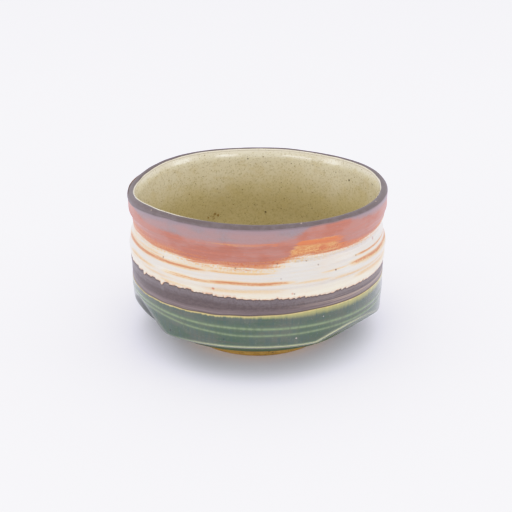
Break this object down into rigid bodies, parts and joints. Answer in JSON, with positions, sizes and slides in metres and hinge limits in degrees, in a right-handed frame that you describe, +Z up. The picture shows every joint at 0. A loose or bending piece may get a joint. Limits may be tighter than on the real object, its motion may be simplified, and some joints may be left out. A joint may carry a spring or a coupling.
{
  "type": "matcha bowl",
  "caption": "Cylindrical stoneware tea bowl on a turned foot ring, with a flared lip over a shallow waist, knife-cut facets round the base and banded slip and glaze.",
  "frame": {"origin": "on the bowl's axis, in the plane the foot ring stands on", "axes": "+Z up along the bowl's axis; -Y is the front, where the turned bevel under the wall is deepest; +X is to the right seen from the front"},
  "size_m": [0.12, 0.12, 0.0732],
  "materials": {
    "clay": "bare iron-rich stoneware, matte",
    "foot_clay": "bare stoneware flashed golden ochre, with iron specks",
    "ash_glaze": "glossy pale olive ash glaze with fine iron specks",
    "iron_wash": "dry dark brown iron wash",
    "coral_glaze": "satin coral red fading to lavender grey under the lip",
    "white_slip": "brushed creamy white slip with orange streaks, satin",
    "iron_slip": "dry dark brown iron slip",
    "green_glaze": "glossy deep green copper glaze, paler on raised lines and cut edges"
  },
  "bodies": {
    "root": {"clay_body": "clay", "foot_ring": "foot_clay", "inner_glaze": "ash_glaze", "rim_wash": "iron_wash", "coral_glaze": "coral_glaze", "white_slip": "white_slip", "iron_band": "iron_slip", "green_glaze": "green_glaze"}
  },
  "joints": []
}
